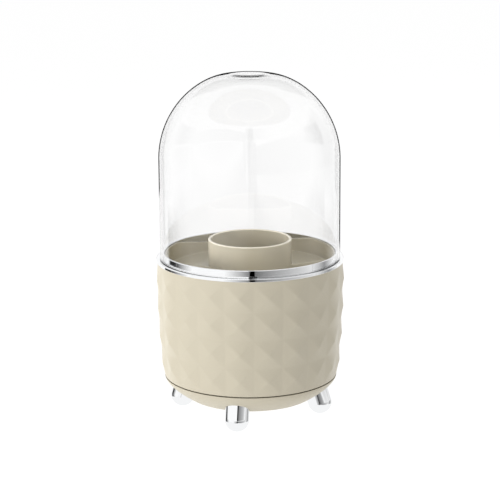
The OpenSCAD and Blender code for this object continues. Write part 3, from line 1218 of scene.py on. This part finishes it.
@dataclass
class Studio:
    """Floor, backdrop, lamps, dark cards and camera."""

    camera_at: Triple = (0.29500, -1.49530, 0.50140)
    azimuth: float = 11.16
    elevation: float = 13.56
    roll: float = -0.35
    lens: float = 140.2
    sensor: float = 36.0
    clip: Pair = (0.05, 60.0)
    floor_half: float = 12.0
    aim_z: float = 0.12
    strips: tuple[tuple[str, float, float], ...] = (
        ("rim_left", -130, 9.0), ("side_left", -85, 3.4),
        ("key_left", -50, 6.6), ("rim_right", 130, 5.0))
    strip_away: float = 1.3
    strip_z: float = 0.2
    strip_size: float = 0.5
    high_at: Triple = (0.3, -1.0, 1.3)
    high_size: float = 1.0
    high_watts: float = 5.6
    flags: tuple[Flag, ...] = (
        Flag("gap_low", (-1, 6), LOW, 1.0, 1.0, 0.2),
        Flag("gap_wide_high", (-2.5, 9.5), HIGH, 1.0, 1.0, 0.3),
        Flag("right_fade_low", (5, 86), LOW, 0.85, 0.18),
        Flag("right_fade_high", (5, 86), HIGH, 0.85, 0.18),
        Flag("right_fall_low", (84, 108), LOW, 0.2, 0.7),
        Flag("right_fall_high", (84, 108), HIGH, 0.2, 0.7),
        Flag("right_rise_low", (108, 131), LOW, 0.7, 0.05),
        Flag("right_rise_high", (108, 131), HIGH, 0.7, 0.05),
        Flag("left_fade_low", (-32, 0), LOW, 0.0, 0.8),
        Flag("left_fall_low", (-107, -78), LOW, 0.97, 0.0),
        Flag("left_dark_low", (-125, -106), LOW, 0.97, 0.97, 0.25),
        Flag("gap_top", (-3.5, 7.5), (0.1, 1.4), 1.0, 1.0, 0.8),
        Flag("back_top", (140, 220), (0.44, 0.85), 0.4, 0.4, 0.0, 0.4))
    opening_r: float = 0.185
    opening_z: float = -0.180
    frame_width: float = 0.550
    frame_feet: Pair = (-0.355, -0.252)
    frame_away: float = 2.0

    def floor(self) -> None:
        """A white floor that keeps the object's shadow."""
        mesh = bpy.data.meshes.new("floor")
        corners = rectangle(self.floor_half, -self.floor_half, self.floor_half)
        mesh.from_pydata(np.insert(corners, 2, 0, axis=1).tolist(), [],
                         [(0, 1, 2, 3)])
        floor = new_object("floor", mesh)
        material, tree, _ = new_material("white_floor")
        matt = add_node(tree, "BsdfPrincipled",
                        {"Base Color": linear("#f2f2f2"), "Roughness": 0.9,
                         "Specular IOR Level": 0.0})
        white = add_node(tree, "Emission", {"Strength": 1.25})
        share = add_node(tree, "MapRange", {"To Min": 0.5, "To Max": 0.75},
                         {"Value": self._seen(tree)})
        mix = add_node(tree, "MixShader", links={
            0: share.outputs["Result"], 1: matt.outputs[0],
            2: white.outputs[0]})
        add_node(tree, "OutputMaterial", links={"Surface": mix.outputs[0]})
        mesh.materials.append(material)
        floor.visible_glossy = False
        floor.visible_transmission = False

    @staticmethod
    def _seen(tree: NodeTree) -> NodeSocket:
        """One where a camera, glossy or transmission ray arrives, else zero.

        Args:
            tree: The node tree.

        Returns:
            That number.
        """
        ray = add_node(tree, "LightPath").outputs
        first = add_node(tree, "Math", {"operation": "MAXIMUM"},
                         {0: ray["Is Camera Ray"], 1: ray["Is Glossy Ray"]})
        both = add_node(tree, "Math", {"operation": "MAXIMUM"},
                        {0: first.outputs[0], 1: ray["Is Transmission Ray"]})
        return both.outputs[0]

    def world(self) -> None:
        """A white world for the eye, and a dimmer one for the lighting."""
        world = bpy.data.worlds.new("studio")
        bpy.context.scene.world = world
        world.use_nodes = True
        tree = world.node_tree
        tree.nodes.clear()
        level = add_node(tree, "MapRange", {"To Min": 0.25, "To Max": 1.0},
                         {"Value": self._seen(tree)})
        back = add_node(tree, "Background", {"Color": linear("#ffffff")},
                        {"Strength": level.outputs["Result"]})
        add_node(tree, "OutputWorld", links={"Surface": back.outputs[0]})

    def lamp(self, name: str, at: Triple, size: float,
             watts: float) -> None:
        """A square softbox that points at the middle of the object.

        Args:
            name: Name of the lamp.
            at: Place, in metres.
            size: Width and height, in metres.
            watts: Power.
        """
        data = bpy.data.lights.new(name, "AREA")
        data.shape = "RECTANGLE"
        data.size = data.size_y = size
        data.energy = watts
        lamp = new_object(name, data)
        way = Vector((0, 0, self.aim_z)) - Vector(at)
        lamp.location = at
        lamp.rotation_euler = way.to_track_quat("-Z", "Y").to_euler()
        lamp.visible_camera = False
        lamp.visible_glossy = False
        lamp.visible_transmission = False

    def place(self, azimuth: float, distance: float,
              z: float = 0.0) -> tuple[Triple, float]:
        """A place in the studio, from its direction round the object.

        Args:
            azimuth: Direction in degrees, 0 towards the camera and rising
                to its right.
            distance: Distance from the axis, in metres.
            z: Height, in metres.

        Returns:
            The place, and the turn about Z that faces it to the object.
        """
        turn = math.radians(azimuth + self.azimuth)
        return (distance * math.sin(turn), -distance * math.cos(turn), z), turn

    def card(self, name: str, points: np.ndarray, faces: np.ndarray,
             cloth: ShadeCloth, at: Triple = (0.0, 0.0, 0.0),
             turn: float = 0.0) -> None:
        """A dark card, which the camera sees only in mirror images.

        Args:
            name: Name of the card.
            points: Its points, in metres, before it is moved.
            faces: Its faces, four point numbers each.
            cloth: Its finish.
            at: Its place, in metres.
            turn: Its turn about Z.
        """
        mesh = bpy.data.meshes.new(name)
        mesh.from_pydata(points.tolist(), [], faces.tolist())
        mesh.materials.append(cloth.material())
        card = new_object(name, mesh)
        card.location = at
        card.rotation_euler = (0, 0, turn)
        card.visible_camera = False
        card.visible_diffuse = False
        card.visible_shadow = False

    def flag(self, flag: Flag) -> None:
        """Puts up one of the flat dark cards.

        Args:
            flag: Its sizes and darkness.
        """
        angle = math.radians(flag.span[1] - flag.span[0])
        half = flag.distance * math.tan(angle / 2)
        points = np.insert(rectangle(half, *flag.heights), 1, 0, axis=1)
        cloth = ShadeCloth(flag.name + "_cloth", 2 * half, flag.heights,
                           flag.left, flag.right, flag.soft, flag.soft_z)
        self.card(flag.name, points, np.array([[0, 1, 2, 3]]), cloth,
                  *self.place(sum(flag.span) / 2, flag.distance))

    def frame(self) -> None:
        """The black frame round the white backdrop, which draws the dark
        outline of a clear dome.

        Its opening is a half circle on two straight legs, a little larger
        than the dome looks from the camera, and its width is the same all
        round.
        """
        rows = []
        for r in (self.opening_r, self.opening_r + self.frame_width):
            bow = arc((0, self.opening_z), r, 0, 180, 48)
            right, left = self.frame_feet
            rows += [[(r, right)], bow, [(-r, left)]]
        points = np.insert(np.concatenate(rows), 1, 0, axis=1)
        cloth = ShadeCloth("backdrop_frame_cloth", 4.0, (-2.0, 2.0),
                           1.0, 1.0, 0.0)
        at, turn = self.place(180, self.frame_away)
        self.card("backdrop_frame", points,
                  grid_quads(2, len(points) // 2, False, False), cloth,
                  at, turn + math.pi)

    def under_card(self) -> None:
        """A grey card below the floor, which the feet's round ends mirror."""
        half, z = 0.2, -0.03
        self.card("under_card",
                  np.insert(rectangle(half, -half, half), 2, z, axis=1),
                  np.array([[0, 1, 2, 3]]),
                  ShadeCloth("under_cloth", 2 * half, (-1.0, 1.0),
                             0.05, 0.05, 0.3))

    def camera(self) -> None:
        """The photograph's camera, from its azimuth, elevation and roll."""
        az, el, roll = (math.radians(v) for v in
                        (self.azimuth, self.elevation, self.roll))
        back = Vector((math.sin(az) * math.cos(el),
                       -math.cos(az) * math.cos(el), math.sin(el)))
        right = Vector((math.cos(az), math.sin(az), 0))
        up = back.cross(right)
        right, up = (right * math.cos(roll) + up * math.sin(roll),
                     up * math.cos(roll) - right * math.sin(roll))
        data = bpy.data.cameras.new("camera")
        data.lens, data.sensor_width = self.lens, self.sensor
        data.clip_start, data.clip_end = self.clip
        camera = new_object("camera", data)
        place = Matrix((right, up, back)).transposed().to_4x4()
        place.translation = Vector(self.camera_at)
        camera.matrix_world = place
        bpy.context.scene.camera = camera

    def build(self) -> None:
        """Sets up the whole studio."""
        bpy.context.scene.view_settings.view_transform = "Standard"
        self.floor()
        self.world()
        for name, azimuth, watts in self.strips:
            at, _ = self.place(azimuth, self.strip_away, self.strip_z)
            self.lamp(name, at, self.strip_size, watts)
        self.lamp("high_front", self.high_at, self.high_size, self.high_watts)
        for flag in self.flags:
            self.flag(flag)
        self.frame()
        self.under_card()
        self.camera()


def main() -> None:
    """Builds the pieces in order."""
    logging.basicConfig(level=logging.INFO, format="%(name)s: %(message)s")
    finish = Finishes().built()
    for part in (CadNodes(), Feet(), Drum(), TrimRing(), Tray(), BrushTube(),
                 Dome()):
        part.build(finish)
    Studio().build()


if __name__ == "__main__":
    main()
